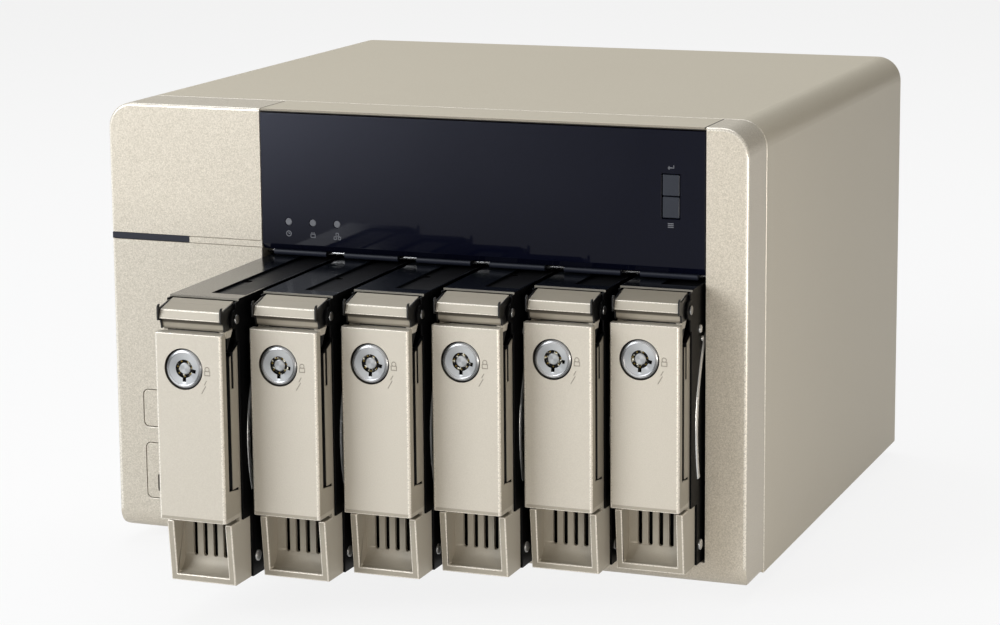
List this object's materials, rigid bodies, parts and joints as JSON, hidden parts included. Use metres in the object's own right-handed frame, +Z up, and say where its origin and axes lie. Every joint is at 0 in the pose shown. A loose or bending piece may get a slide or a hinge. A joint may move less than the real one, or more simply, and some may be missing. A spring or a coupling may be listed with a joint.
{
  "type": "network attached storage",
  "caption": "Desktop network storage box with upright drive trays on slides, each with a swing lever and key lock, a smoked display window and a metal cover.",
  "frame": {"origin": "middle of the box's footprint with the trays as pictured, on the surface the feet stand on", "axes": "+X to the right seen from the front, +Y from the front to the back, +Z up"},
  "size_m": [0.257, 0.3288, 0.175],
  "materials": {
    "champagne_paint": "satin metallic champagne paint",
    "champagne_plastic": "satin metallic champagne paint on plastic",
    "champagne_metal": "satin metallic champagne paint",
    "grey_steel": "plain coated sheet",
    "smoked_window": "glossy smoked",
    "light_guide": "smoked light guide",
    "bright_steel": "bright",
    "black_steel": "gloss black",
    "circuit_board": "solder mask",
    "black_plastic": "moulded",
    "rubber": "matt",
    "chrome": "polished",
    "drive_alloy": "coated casting"
  },
  "bodies": {
    "case": {"cover": "champagne_paint", "front_bezel": "champagne_plastic", "display_trim": "champagne_plastic", "base_pan": "grey_steel", "rear_panel": "grey_steel", "power_supply": "grey_steel", "display_window": "smoked_window", "status_light_bar": "light_guide", "indicator_lenses": "light_guide", "latch_rod": "bright_steel", "case_screws": "bright_steel", "port_sockets": "bright_steel", "drive_cage": "black_steel", "lcd_module": "circuit_board", "backplane": "circuit_board", "mainboard": "circuit_board", "fan_frames": "black_plastic", "feet": "rubber"},
    "enter_button": {"enter_button": "smoked_window"},
    "select_button": {"select_button": "smoked_window"},
    "power_button": {"power_button": "champagne_plastic"},
    "copy_button": {"copy_button": "champagne_plastic"},
    "fan_rotor_left": {"fan_rotor_left": "black_plastic"},
    "fan_rotor_right": {"fan_rotor_right": "black_plastic"},
    "tray_1": {"tray_1_carrier": "black_steel", "tray_1_face": "champagne_plastic", "tray_1_drive": "drive_alloy"},
    "lever_1": {"tray_1_lever": "champagne_metal", "tray_1_latch": "black_steel"},
    "lock_1": {"tray_1_lock": "chrome"},
    "tray_2": {"tray_2_carrier": "black_steel", "tray_2_face": "champagne_plastic", "tray_2_drive": "drive_alloy"},
    "lever_2": {"tray_2_lever": "champagne_metal", "tray_2_latch": "black_steel"},
    "lock_2": {"tray_2_lock": "chrome"},
    "tray_3": {"tray_3_carrier": "black_steel", "tray_3_face": "champagne_plastic", "tray_3_drive": "drive_alloy"},
    "lever_3": {"tray_3_lever": "champagne_metal", "tray_3_latch": "black_steel"},
    "lock_3": {"tray_3_lock": "chrome"},
    "tray_4": {"tray_4_carrier": "black_steel", "tray_4_face": "champagne_plastic", "tray_4_drive": "drive_alloy"},
    "lever_4": {"tray_4_lever": "champagne_metal", "tray_4_latch": "black_steel"},
    "lock_4": {"tray_4_lock": "chrome"},
    "tray_5": {"tray_5_carrier": "black_steel", "tray_5_face": "champagne_plastic", "tray_5_drive": "drive_alloy"},
    "lever_5": {"tray_5_lever": "champagne_metal", "tray_5_latch": "black_steel"},
    "lock_5": {"tray_5_lock": "chrome"},
    "tray_6": {"tray_6_carrier": "black_steel", "tray_6_face": "champagne_plastic", "tray_6_drive": "drive_alloy"},
    "lever_6": {"tray_6_lever": "champagne_metal", "tray_6_latch": "black_steel"},
    "lock_6": {"tray_6_lock": "chrome"}
  },
  "joints": [
    {"name": "enter_press", "type": "slide", "parent": "case", "child": "enter_button", "axis": [0, 1, 0], "range_m": [0, 0.0006], "stiffness_N_per_m": 400},
    {"name": "select_press", "type": "slide", "parent": "case", "child": "select_button", "axis": [0, 1, 0], "range_m": [0, 0.0006], "stiffness_N_per_m": 400},
    {"name": "power_press", "type": "slide", "parent": "case", "child": "power_button", "axis": [0, 1, 0], "range_m": [0, 0.0012], "stiffness_N_per_m": 400},
    {"name": "copy_press", "type": "slide", "parent": "case", "child": "copy_button", "axis": [0, 1, 0], "range_m": [0, 0.0012], "stiffness_N_per_m": 400},
    {"name": "fan_spin_left", "type": "hinge", "parent": "case", "child": "fan_rotor_left", "pos_m": [-0.0136, 0.1602, 0.0652], "axis": [0, 1, 0], "continuous": true},
    {"name": "fan_spin_right", "type": "hinge", "parent": "case", "child": "fan_rotor_right", "pos_m": [0.0734, 0.1602, 0.0652], "axis": [0, 1, 0], "continuous": true},
    {"name": "tray_1_slide", "type": "slide", "parent": "case", "child": "tray_1", "axis": [0, -1, 0], "range_m": [-0.092, 0.048]},
    {"name": "lever_1_swing", "type": "hinge", "parent": "tray_1", "child": "lever_1", "pos_m": [-0.0491, -0.1529, 0.1113], "axis": [-1, 0, 0], "range_deg": [0, 45]},
    {"name": "lock_1_turn", "type": "hinge", "parent": "lever_1", "child": "lock_1", "pos_m": [-0.0509, -0.1644, 0.0946], "axis": [0, 1, 0], "range_deg": [0, 90]},
    {"name": "tray_2_slide", "type": "slide", "parent": "case", "child": "tray_2", "axis": [0, -1, 0], "range_m": [-0.0765, 0.0635]},
    {"name": "lever_2_swing", "type": "hinge", "parent": "tray_2", "child": "lever_2", "pos_m": [-0.0197, -0.1374, 0.1113], "axis": [-1, 0, 0], "range_deg": [0, 45]},
    {"name": "lock_2_turn", "type": "hinge", "parent": "lever_2", "child": "lock_2", "pos_m": [-0.0215, -0.1489, 0.0946], "axis": [0, 1, 0], "range_deg": [0, 90]},
    {"name": "tray_3_slide", "type": "slide", "parent": "case", "child": "tray_3", "axis": [0, -1, 0], "range_m": [-0.063, 0.077]},
    {"name": "lever_3_swing", "type": "hinge", "parent": "tray_3", "child": "lever_3", "pos_m": [0.0097, -0.1239, 0.1113], "axis": [-1, 0, 0], "range_deg": [0, 45]},
    {"name": "lock_3_turn", "type": "hinge", "parent": "lever_3", "child": "lock_3", "pos_m": [0.0079, -0.1354, 0.0946], "axis": [0, 1, 0], "range_deg": [0, 90]},
    {"name": "tray_4_slide", "type": "slide", "parent": "case", "child": "tray_4", "axis": [0, -1, 0], "range_m": [-0.05, 0.09]},
    {"name": "lever_4_swing", "type": "hinge", "parent": "tray_4", "child": "lever_4", "pos_m": [0.0391, -0.1109, 0.1113], "axis": [-1, 0, 0], "range_deg": [0, 45]},
    {"name": "lock_4_turn", "type": "hinge", "parent": "lever_4", "child": "lock_4", "pos_m": [0.0373, -0.1224, 0.0946], "axis": [0, 1, 0], "range_deg": [0, 90]},
    {"name": "tray_5_slide", "type": "slide", "parent": "case", "child": "tray_5", "axis": [0, -1, 0], "range_m": [-0.0355, 0.1045]},
    {"name": "lever_5_swing", "type": "hinge", "parent": "tray_5", "child": "lever_5", "pos_m": [0.0685, -0.0964, 0.1113], "axis": [-1, 0, 0], "range_deg": [0, 45]},
    {"name": "lock_5_turn", "type": "hinge", "parent": "lever_5", "child": "lock_5", "pos_m": [0.0667, -0.1079, 0.0946], "axis": [0, 1, 0], "range_deg": [0, 90]},
    {"name": "tray_6_slide", "type": "slide", "parent": "case", "child": "tray_6", "axis": [0, -1, 0], "range_m": [-0.026, 0.114]},
    {"name": "lever_6_swing", "type": "hinge", "parent": "tray_6", "child": "lever_6", "pos_m": [0.0979, -0.0869, 0.1113], "axis": [-1, 0, 0], "range_deg": [0, 45]},
    {"name": "lock_6_turn", "type": "hinge", "parent": "lever_6", "child": "lock_6", "pos_m": [0.0961, -0.0984, 0.0946], "axis": [0, 1, 0], "range_deg": [0, 90]}
  ]
}
